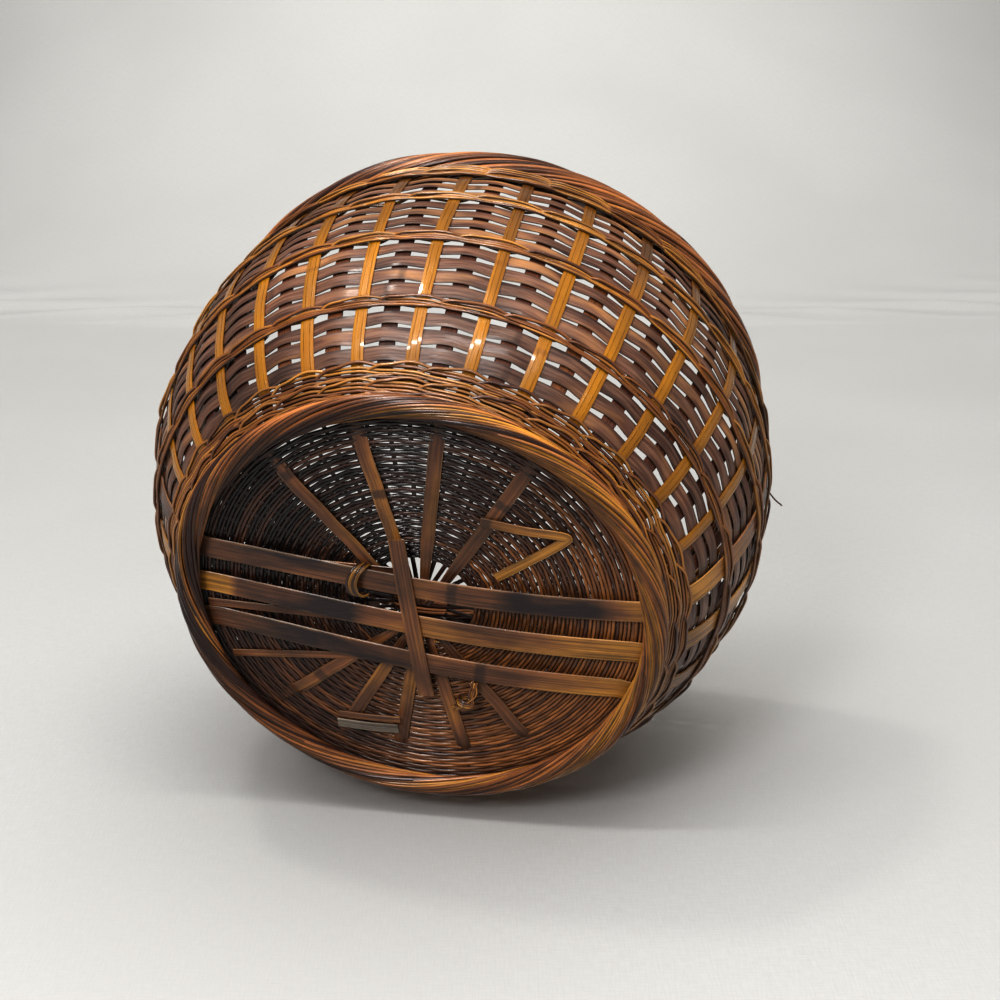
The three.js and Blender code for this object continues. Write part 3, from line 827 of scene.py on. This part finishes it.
def make_foot(size, tint):
    """Foot border: many thin strands rolled together, with a few inside to fill it."""
    splits = Splits("foot")
    outer = size.foot_strands
    inner_reach, lie_back = 0.6, 0.1

    def bundle(strand, turn):
        inner = strand >= outer
        lead = turn + TURN * strand / (FOOT_FILLERS if inner else outer)
        reach = inner_reach if inner else 1.0 - lie_back * (strand % 3 == 0)
        return reach * np.cos(lead), reach * np.sin(lead)

    roll(splits, "foot_border", outer + FOOT_FILLERS, bundle, size.foot_strand, tones=(0.05, 1.05),
         warmth=0.25, looseness=0.55 * MM)
    splits.piece("foot_border_strands", border_finish(tint), ["foot_border"])


# Pieces of the base

LOOSE_SIDE = math.radians(-48)
SPLINT_SEAT = 0.6 * MM      # from the underside of a wide splint's solid to the middle of the splint
SPLINT_INSET = 6 * MM       # from the wall to where a wide splint comes in under the base


def mat_level(reach):
    """Level of the middle of the base mat, which follows the ridges of its solid."""
    below_ridge = 0.75 * MM
    points = corners("base_mat")
    low, high = level("base_mat")
    top = points[points[:, 2] > (low + high) / 2]
    radii = np.hypot(top[:, 0], top[:, 1])
    order = np.argsort(radii)
    return np.interp(reach, radii[order], top[order, 2]) - below_ridge


def splint_ends(name):
    """Where a wide splint comes in under the base, at its near and its far end."""
    reach = WALL.radius(level("base_mat")[0]) - SPLINT_INSET
    found = [around(angle, reach, level(name)[0] + SPLINT_SEAT) for angle in tops(name)]
    return sorted(found, key=lambda end: end[0])


def splint_bearing():
    """Bearing of the middle wide splint under the base."""
    start, end = splint_ends("base_splint_2")
    return math.atan2(end[1] - start[1], end[0] - start[0])


def make_mat(size, tint):
    """Base mat: rings of thin cane over and under thin spokes, looser and darker on one side."""
    splits = Splits("mat")
    edge = WALL.radius(level("base_mat")[1])
    opening, inset = 23 * MM, 1.2 * MM
    coarse_within, fine_steps, coarse_steps = 45 * MM, 4, 2
    weave, wander, waves = 0.4 * MM, 0.5 * MM, 10
    shares, thinner_loose = (0.9, 1.06), 0.13
    tones, paler_tight, paler_warm = (0.02, 0.5), 0.42, 0.25
    for row in range(int((edge - opening) / size.mat_pitch)):
        reach = edge - inset - row * size.mat_pitch
        place, angle = WALL.ring(fine_steps if reach > coarse_within else coarse_steps)
        loose = 0.5 + 0.5 * np.cos(angle - LOOSE_SIDE)
        stray = sway(splits.random, place / PLACES, wander, waves) * loose
        path = around(angle, reach + stray, mat_level(reach) + weave * np.cos(np.pi * place + np.pi * row))
        thick = size.mat_cane * splits.random.uniform(*shares)
        tone = splits.random.uniform(*tones) + paler_tight * (1 - loose)
        tone = tone + paler_warm * np.cos(angle - WARM_SIDE)
        section = round_section(thick, CANE_SIDES) * (1 - thinner_loose * loose)[:, None, None]
        splits.add(path, UP, section, closed=True, tone=tone)
    long_start, short_start, into_wall = 12 * MM, 46 * MM, 1 * MM
    for k, angle in enumerate(WALL.angles):
        reach = np.linspace(long_start if k % 2 else short_start, edge + into_wall, 30)
        path = around(angle, reach, mat_level(reach))
        splits.add(path, UP, flat_section(width=2.0 * MM, thickness=0.5 * MM), tone=0.3)
    splits.piece("base_mat_canes", mat_finish(tint), ["base_mat"])


def make_spokes(tint):
    """Two fans of flat spokes under the base mat, square to the wide splints and tucked in at their ends."""
    spokes = Splits("spokes")
    aside, stray, middle = math.radians(3.5), 1.5, 2
    square = splint_bearing() + math.pi / 2 + aside
    hub, hub_gap, length_out = np.array([-4.0, 4.0]) * MM, 6 * MM, 100 * MM
    tuck_start, tuck_run, below_mat = 82 * MM, 8 * MM, 1.5 * MM
    thickness, crown, tones, paler_middle = 0.9 * MM, 0.1, (0.2, 0.4), 0.3
    share = np.linspace(0, 1, 40)
    width = np.interp(share, [0, 0.35, 1], [2.5, 6.0, 6.6]) * MM
    section = scaled(flat_section(1.0, 1.0, crown), width, thickness)
    for side, pitch, total in ((0.0, 20.0, 5), (math.pi, 24.0, 4)):
        for k in range(total):
            turn = (k - middle) * pitch + spokes.random.uniform(-stray, stray)
            lean = square + side + math.radians(turn)
            way = np.array([math.cos(lean), math.sin(lean)])
            start, end = hub + hub_gap * way, length_out * way
            flat = start + (end - start) * share[:, None]
            reach = np.hypot(flat[:, 0], flat[:, 1])
            tuck = np.clip((reach - tuck_start) / tuck_run, 0, 1)
            drop = below_mat * (1 - tuck * tuck * (3 - 2 * tuck))
            path = np.column_stack([flat, mat_level(reach) - drop])
            tone = spokes.random.uniform(*tones) + paler_middle * np.sin(np.pi * share)
            spokes.add(path, -UP, section, tone=tone)
    spokes.piece("base_spokes", splint_finish(tint), ["base_mat"], CREASE)


# Share of the way from the near end of a wide splint to its far end, and its tone there
SPLINT_TONES = {
    "base_splint_1": [(0.0, 0.4), (0.33, 0.25), (0.4, 0.12), (0.48, 0.25), (0.5, 0.5), (0.56, 0.4),
                      (0.58, 0.08), (0.64, 0.15), (0.67, 0.7), (0.71, 0.85), (0.85, 0.4), (1.0, 0.3)],
    "base_splint_2": [(0.0, 0.4), (0.3, 0.8), (0.34, 0.95), (0.35, 0.3), (0.4, 0.25), (0.42, 0.05),
                      (0.44, 0.1), (0.46, 0.55), (0.52, 0.65), (0.6, 0.6), (0.66, 0.85), (1.0, 0.75)],
    "base_splint_3": [(0.0, 0.4), (0.33, 0.25), (0.37, 0.1), (0.41, 0.05), (0.44, 0.3), (0.53, 0.25),
                      (0.6, 0.5), (0.66, 0.8), (0.75, 0.6), (1.0, 0.45)],
}


def splint_leg(splits, size, end, high):
    """One leg of a wide splint, from its top down to its bend under the base, and the way it looks."""
    leg_foot, knee_level, wander = 15 * MM, 11 * MM, 0.6 * MM
    bend_out, bend_levels = (2.6 * MM, 0.8 * MM), (11.6 * MM, 9.4 * MM)
    angle = math.atan2(end[1], end[0])
    heights = np.linspace(high, leg_foot, 40)
    path, face = climb(angle, heights, size.splint_layer, sway(splits.random, heights / high, wander))
    knee = WALL.radius(knee_level)
    bend = [around(angle, knee + out, up) for out, up in zip(bend_out, bend_levels)]
    way = around(angle, 1.0, 0.0)
    turned = [way - 0.5 * UP, 0.7 * way - UP]
    return np.vstack([path, bend]), np.vstack([face, turned])


def make_wide_splints(size, tint):
    """Wide splints: down the wall, under the base with a slight bow and stray, and up the other side."""
    thickness, width_sway, waves, drift_skew = 1.2 * MM, 0.06, 8, 1.6
    share = np.linspace(0, 1, 48)[1:-1, None]
    for name in named("base_splint_"):
        splits = Splits(name)
        low, high = level(name)
        near, far = splint_ends(name)
        near_path, near_face = splint_leg(splits, size, near, high)
        far_path, far_face = splint_leg(splits, size, far, high)
        under = near + (far - near) * share
        under[:, 2] = low + SPLINT_SEAT - size.splint_sag * np.sin(np.pi * share[:, 0])
        along = (far - near) / np.linalg.norm(far - near)
        under += size.splint_drift * np.sin(np.pi * share ** drift_skew) * np.cross(UP, along)
        path = np.vstack([near_path, under, far_path[::-1]])
        face = np.vstack([near_face, np.tile(-UP, (len(under), 1)), far_face[::-1]])
        run = np.linspace(0, 1, len(path))
        width = breadth(name) * (1 + sway(splits.random, run, width_sway, waves))
        section = scaled(ribbed_section(1.0, 1.0, ribs=6, relief=0.16), width, thickness)
        splits.add(path, face, section, tone=np.interp(run, *np.array(SPLINT_TONES[name]).T))
        made = name.replace("base_splint", "wide_splint")
        splits.piece(made, splint_finish(tint), [name], CREASE)


# Points of the loose pieces in millimetres: place on the base, and level against the mat or the splints
CROSS_ENDS = np.array([(22.2, -30.7), (-35.7, 34.9)])
BENT_SPOKE = [(37.0, 13.0, -0.6), (58.0, 17.0, -1.0), (74.0, 19.4, -1.4), (76.0, 17.0, -2.0),
              (66.0, 4.0, -2.2), (55.0, -11.5, -1.6)]
SLIPS = [((-74, -66, -0.4), (-8, 8, -1.6), 4.2), ((-52, -84, -0.4), (10, -16, -1.6), 3.4),
         ((-90, -40, -0.4), (-22, 20, -1.6), 4.0)]
STUB = np.array([(-85.0, 19.6, -0.8), (-74.0, 30.0, -2.6), (-63.0, 40.0, -3.6)])
BESIDE_STUB = (5.0, -3.0, 0.0)
LOOP_PLACE = (-6.0, -26.6, 0.6)
LOOP_TONES = (0.0, 1.05, 0.05, 0.95)
KNOT_TUFT = np.array([(-13.0, 44.0, 0.6), (-17.5, 47.6, -1.6), (-22.0, 49.8, -2.6), (-26.5, 50.0, -1.4),
                      (-31.0, 48.0, 0.4)])
KNOT_PLACE = (-23.0, 48.6, -0.6)
# Way of the loop over a splint in millimetres: across the splint, along it and up
LOOP_ARCH = [(-9.0, 0.0, 2.2), (-8.0, -1.5, -1.2), (-5.0, -3.5, -3.6), (0.0, -4.5, -4.4), (5.0, -3.5, -3.6),
             (7.6, -1.5, -1.0), (7.6, 0.0, 2.2)]


def from_level(points, base):
    """Points in metres from points in millimetres that count their height from a level."""
    return np.asarray(points, float) * MM + UP * base


def splint_underside(size):
    """Level of the wide splints where they bow lowest."""
    return level("base_splint_2")[0] - size.splint_sag


def make_cross_splint(size, tint):
    """Short cross splint over the wide ones, pressed up at its ends."""
    splits = Splits("cross")
    clear, end_rise = 0.9 * MM, 1.4 * MM
    share = np.linspace(0, 1, 40)
    start, end = CROSS_ENDS * MM
    flat = start + (end - start) * share[:, None]
    path = np.column_stack([flat, splint_underside(size) - clear + end_rise * (2 * share - 1) ** 2])
    section = ribbed_section(width=7.6 * MM, thickness=1.2 * MM, ribs=4, relief=0.16 * MM)
    splits.add(path, -UP, section, tone=0.45)
    splits.piece("cross_splint_bar", splint_finish(tint), ["cross_splint"], CREASE)


def make_loose_splits(tint):
    """Bent spoke, thin slips and a broken end under the mat, and the grey stub beside it."""
    mat_low = level("base_mat")[0]
    thin, thick = 0.6 * MM, 0.8 * MM
    bent = Splits("bent")
    bent.add(smooth(from_level(BENT_SPOKE, mat_low), steps=8), -UP, flat_section(4.6 * MM, thin), tone=0.85)
    for start, end, width in SLIPS:
        path = smooth(from_level(np.linspace(start, end, 5), mat_low), steps=8)
        bent.add(path, -UP, flat_section(width * MM, thin), tone=bent.random.uniform(0.3, 0.5))
    path = smooth(from_level(STUB + BESIDE_STUB, mat_low), steps=8)
    bent.add(path, -UP, flat_section(3.6 * MM, thick), tone=0.6)
    bent.piece("bent_spoke_and_slips", splint_finish(tint), ["base_mat"], CREASE)

    stub = Splits("stubs")
    stub.add(smooth(from_level(STUB, mat_low), steps=8), -UP, flat_section(5.0 * MM, thick), tone=0.75)
    stub.piece("grey_stub", grey_finish(tint), ["base_mat"], CREASE)


def make_ties(size, tint):
    """Cane loop round a wide splint, and a knot: a tuft of loose canes held by three rings."""
    ties = Splits("loose")
    base = splint_underside(size)
    bearing = splint_bearing()
    along = np.array([math.cos(bearing), math.sin(bearing), 0.0])
    across = np.array([along[1], -along[0], 0.0])
    loop_pitch, loop_start, loop_cane = 1.25 * MM, 1.9 * MM, 1.5 * MM
    arch = np.array(LOOP_ARCH) * MM @ np.stack([across, along, UP])
    for strand, tone in enumerate(LOOP_TONES):
        shift = along * (loop_pitch * strand - loop_start)
        path = smooth(from_level(LOOP_PLACE, base) + shift + arch, steps=8)
        ties.add(path, along, round_section(loop_cane, CANE_SIDES), tone=tone)
    tuft_canes, tuft_tones, stray, flatness = 7, (0.2, 1.0), 1.6, (1, 1, 0.4)
    for _ in range(tuft_canes):
        drift = np.array([[ties.random.uniform(-stray, stray) for _ in range(3)] for _ in KNOT_TUFT])
        path = smooth(from_level(KNOT_TUFT + drift * flatness, base), steps=6)
        ties.add(path, UP, round_section(1.0 * MM, sides=5), tone=ties.random.uniform(*tuft_tones))
    ring_way, ring_side = np.array([0.5, 0.85, 0.0]), np.array([-0.85, 0.5, 0.0])
    ring_size, ring_pitch, ring_cane, ring_height = 3.6 * MM, 1.3 * MM, 1.3 * MM, 0.8
    ring_turn, ring_tones = 0.93 * TURN, (0.3, 0.6, 0.9)
    angle = np.linspace(0, ring_turn, 24)[:, None]
    ring = ring_size * (np.cos(angle) * ring_way - np.sin(angle) * UP * ring_height)
    for turn, tone in enumerate(ring_tones):
        path = from_level(KNOT_PLACE, base) + (turn - 1) * ring_pitch * ring_side + ring
        ties.add(path, along, round_section(ring_cane, CANE_SIDES), tone=tone)
    ties.piece("cane_ties", cane_finish(tint), ["cross_splint"])


# Stage

LENS, SENSOR = 58.39, 36.0
RIGHT = np.array([0.6515, 0.7388, 0.1723])
DOWN = np.array([-0.5493, 0.616, -0.5647])
AHEAD = np.array([-0.5233, 0.2733, 0.8071])
CAMERA = np.array([423.8, -198.1, -537.6]) * MM
FLOOR_UP = np.array([0.6781, -0.6691, 0.3041])
FLOOR_UP /= np.linalg.norm(FLOOR_UP)
FLOOR_GAP = 1.5 * MM
FLOOR_LEVEL = min((corners(name) @ FLOOR_UP).min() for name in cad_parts) - FLOOR_GAP


def floor_axes():
    """Axes of the cloth: to the right, away from the camera and up."""
    away = AHEAD - FLOOR_UP * np.dot(AHEAD, FLOOR_UP)
    away /= np.linalg.norm(away)
    return np.stack([np.cross(away, FLOOR_UP), away, FLOOR_UP])


def cloth_finish(tint):
    """Pale cloth that shows only its upper side."""
    made = bpy.data.materials.new("cloth")
    made.use_nodes = True
    made.node_tree.nodes.clear()
    tree = Tree(made.node_tree)
    threads_along, threads_across = 120.0, 1100.0
    spot = tree.add("TexCoord", {}).outputs["Object"]
    soft = tree.noise(spot, scale=3.0, detail=2.0)
    right, away, _ = floor_axes()
    threads = []
    for along, across in ((right, away), (away, right)):
        parts = {}
        for part, way in enumerate((threads_along * along, threads_across * across)):
            product = tree.add("VectorMath", {0: spot, 1: tuple(way)}, operation="DOT_PRODUCT")
            parts[part] = product.outputs["Value"]
        threads.append(tree.noise(tree.add("CombineXYZ", parts).outputs[0], scale=1.0, detail=3.0))
    weave = tree.math("ADD", *threads)
    shade = full(tint.cloth)
    patches = tree.ramp(soft, low=0.35, high=0.65, end=0.5)
    grain = tree.ramp(weave, low=0.75, high=1.25, end=0.6)
    for share in (patches, grain):
        shade = tree.mix(share, shade, full(tint.cloth_shade))
    bump = tree.add("Bump", {"Height": weave, "Strength": 0.2, "Distance": 0.4 * MM})
    shader = tree.add("BsdfPrincipled", {"Base Color": shade, "Roughness": 0.9, "Normal": bump.outputs[0],
                                         "Specular IOR Level": 0.2})
    clear = tree.add("BsdfTransparent", {})
    behind = tree.add("NewGeometry", {}).outputs["Backfacing"]
    sides = tree.add("MixShader", {0: behind, 1: shader.outputs[0], 2: clear.outputs[0]})
    tree.add("OutputMaterial", {"Surface": sides.outputs[0]})
    return made


def make_cloth(tint):
    """Cloth that lies under the basket, bends softly behind it and leans up; lengths in metres."""
    half_width, front, bend_start, bend_end, back_start, back_end = 3.0, -1.6, 0.9, 2.2, 2.25, 5.0
    bend_middle, bend_curve, bend_reach = 1.29, 0.3, 1.2
    slope, steep_after, steepness = 0.16, 0.15, 0.45
    fold_height, fold_width = 0.012, 0.016
    away = np.hstack([front, np.linspace(bend_start, bend_end, 131), np.linspace(back_start, back_end, 60)])
    across, runs = np.meshgrid(np.linspace(-half_width, half_width, 41), away)
    bend = bend_middle + bend_curve * np.minimum(np.abs(across), bend_reach) ** 2
    past = np.maximum(runs - bend, 0.0)
    rise = slope * past + steepness * np.maximum(past - steep_after, 0.0) ** 2
    rise += fold_height * np.exp(-((runs - bend) / fold_width) ** 2)
    spots = np.stack([across, runs, rise + FLOOR_LEVEL], axis=-1) @ floor_axes()
    rows, wide = across.shape
    i, j = np.divmod(np.arange((rows - 1) * (wide - 1)), wide - 1)
    corner = i * wide + j
    faces = np.stack([corner, corner + 1, corner + wide + 1, corner + wide], axis=1)
    mesh = bpy.data.meshes.new("cloth")
    mesh.from_pydata(spots.reshape(-1, 3).tolist(), [], faces.tolist())
    mesh.shade_smooth()
    mesh.materials.append(cloth_finish(tint))
    cloth = bpy.data.objects.new("cloth", mesh)
    bpy.context.scene.collection.objects.link(cloth)
    cloth.visible_diffuse = False
    cloth.visible_shadow = False


def facing(place, right, up):
    """Matrix of something at a place that looks along the way opposite to right x up."""
    back = np.cross(right, up)
    rows = [[*row, spot] for row, spot in zip(np.stack([right, up, back], axis=1), place)]
    return Matrix(rows + [[0, 0, 0, 1]])


def make_camera():
    """Camera at the viewing angle of the photograph."""
    camera = bpy.data.cameras.new("camera")
    camera.sensor_width = SENSOR
    camera.lens = LENS
    camera.dof.use_dof = False
    made = bpy.data.objects.new("camera", camera)
    made.matrix_world = facing(CAMERA, RIGHT, -DOWN)
    bpy.context.scene.collection.objects.link(made)
    bpy.context.scene.camera = made


def make_light(name, spot, aim, size, power, tint, glints=False):
    """Oblong light at a spot of the cloth's axes that looks at another one, long side level."""
    axes = floor_axes()
    place, target = np.array(spot) @ axes, np.array(aim) @ axes
    back = (place - target) / np.linalg.norm(place - target)
    right = np.cross(axes[1], back)
    right /= np.linalg.norm(right)
    lamp = bpy.data.lights.new(name, "AREA")
    lamp.shape = "RECTANGLE"
    lamp.size, lamp.size_y = size
    lamp.energy = power
    lamp.color = tint
    made = bpy.data.objects.new(name, lamp)
    made.matrix_world = facing(place, right, np.cross(back, right))
    made.visible_glossy = glints
    bpy.context.scene.collection.objects.link(made)


def make_stage(tint):
    """Camera, cloth, lamps and the pale room."""
    make_camera()
    make_cloth(tint)
    basket, backdrop = (0.04, 0.05, 0.0), (0.0, 3.1, 0.5)
    warm, plain, cool = (1.0, 0.97, 0.92), (1.0, 0.985, 0.96), (0.98, 0.98, 1.0)
    make_light("ceiling", (0.05, -0.25, 1.65), basket, size=(2.8, 2.8), power=50.0, tint=plain)
    make_light("tube", (-0.15, -0.6, 1.55), basket, size=(1.5, 0.08), power=13.0, tint=plain, glints=True)
    make_light("lamp", (-0.55, 0.15, 1.5), basket, size=(0.17, 0.14), power=4.0, tint=warm, glints=True)
    make_light("window", (-0.55, -1.45, 1.05), basket, size=(0.4, 0.4), power=19.0, tint=cool, glints=True)
    make_light("back", (0.0, 1.3, 1.7), backdrop, size=(2.4, 0.8), power=40.0, tint=plain)
    make_light("far side", (0.3, 0.9, -1.5), basket, size=(2.4, 2.4), power=32.0, tint=plain, glints=True)
    world = bpy.data.worlds.new("room")
    world.use_nodes = True
    back = world.node_tree.nodes["Background"]
    back.inputs["Color"].default_value = full(plain)
    back.inputs["Strength"].default_value = 0.29
    scene = bpy.context.scene
    scene.world = world
    scene.view_settings.view_transform = "Standard"
    scene.view_settings.exposure = 0.55
    scene.view_settings.gamma = 0.72


# Operators, panel and registration

def settings(context):
    """Sizes and colours of the scene."""
    return context.scene.basket_sizes, context.scene.basket_colours


class BASKET_OT_stage(bpy.types.Operator):
    """Sets the camera, the cloth, the lamps and the room"""
    bl_idname = "basket.stage"
    bl_label = "Stage"

    def execute(self, context):
        make_stage(context.scene.basket_colours)
        return {"FINISHED"}


class BASKET_OT_stakes(bpy.types.Operator):
    """Makes the dark stakes of the wall"""
    bl_idname = "basket.stakes"
    bl_label = "Stakes"

    def execute(self, context):
        make_stakes(context.scene.basket_colours)
        return {"FINISHED"}


class BASKET_OT_honey_strips(bpy.types.Operator):
    """Makes the honey-coloured strips of the wall"""
    bl_idname = "basket.honey_strips"
    bl_label = "Honey strips"

    def execute(self, context):
        make_honey_strips(*settings(context))
        return {"FINISHED"}


class BASKET_OT_weavers(bpy.types.Operator):
    """Makes the rows of flat weavers"""
    bl_idname = "basket.weavers"
    bl_label = "Weavers"

    def execute(self, context):
        make_weavers(*settings(context))
        return {"FINISHED"}


class BASKET_OT_wales(bpy.types.Operator):
    """Makes the three twined wales"""
    bl_idname = "basket.wales"
    bl_label = "Wales"

    def execute(self, context):
        make_wales(*settings(context))
        return {"FINISHED"}


class BASKET_OT_bands(bpy.types.Operator):
    """Makes the lower and the upper band of canes"""
    bl_idname = "basket.bands"
    bl_label = "Cane bands"

    def execute(self, context):
        make_bands(*settings(context))
        return {"FINISHED"}


class BASKET_OT_borders(bpy.types.Operator):
    """Makes the rolled rim and foot borders"""
    bl_idname = "basket.borders"
    bl_label = "Borders"

    def execute(self, context):
        make_rim(*settings(context))
        make_foot(*settings(context))
        return {"FINISHED"}


class BASKET_OT_base_mat(bpy.types.Operator):
    """Makes the fine mat of the base and its fans of spokes"""
    bl_idname = "basket.base_mat"
    bl_label = "Base mat"

    def execute(self, context):
        make_mat(*settings(context))
        make_spokes(context.scene.basket_colours)
        return {"FINISHED"}


class BASKET_OT_wide_splints(bpy.types.Operator):
    """Makes the three wide splints under the base"""
    bl_idname = "basket.wide_splints"
    bl_label = "Wide splints"

    def execute(self, context):
        make_wide_splints(*settings(context))
        return {"FINISHED"}


class BASKET_OT_ties(bpy.types.Operator):
    """Makes the cross splint with its tie, knot and loose ends"""
    bl_idname = "basket.ties"
    bl_label = "Cross splint and ties"

    def execute(self, context):
        make_cross_splint(*settings(context))
        make_loose_splits(context.scene.basket_colours)
        make_ties(*settings(context))
        return {"FINISHED"}


PIECES = (BASKET_OT_stakes, BASKET_OT_honey_strips, BASKET_OT_weavers, BASKET_OT_wales, BASKET_OT_bands,
          BASKET_OT_borders, BASKET_OT_base_mat, BASKET_OT_wide_splints, BASKET_OT_ties, BASKET_OT_stage)


class BASKET_PT_panel(bpy.types.Panel):
    """Lists the sizes, the colours and the pieces of the basket"""
    bl_idname = "BASKET_PT_panel"
    bl_label = "Gathering basket"
    bl_space_type = "VIEW_3D"
    bl_region_type = "UI"
    bl_category = "Basket"

    def draw(self, context):
        for group in settings(context):
            for name in group.__annotations__:
                self.layout.prop(group, name)
        for operator in PIECES:
            self.layout.operator(operator.bl_idname)


CLASSES = (BasketSizes, BasketColours, *PIECES, BASKET_PT_panel)


def register():
    """Registers the classes and the settings of the scene."""
    for known in CLASSES:
        bpy.utils.register_class(known)
    bpy.types.Scene.basket_sizes = PointerProperty(type=BasketSizes)
    bpy.types.Scene.basket_colours = PointerProperty(type=BasketColours)


def unregister():
    """Takes the settings and the classes away again."""
    del bpy.types.Scene.basket_colours
    del bpy.types.Scene.basket_sizes
    for known in reversed(CLASSES):
        bpy.utils.unregister_class(known)


def main():
    """Makes every piece and the stage."""
    register()
    bpy.ops.basket.stakes()
    bpy.ops.basket.honey_strips()
    bpy.ops.basket.weavers()
    bpy.ops.basket.wales()
    bpy.ops.basket.bands()
    bpy.ops.basket.borders()
    bpy.ops.basket.base_mat()
    bpy.ops.basket.wide_splints()
    bpy.ops.basket.ties()
    bpy.ops.basket.stage()


if __name__ == "__main__":
    main()
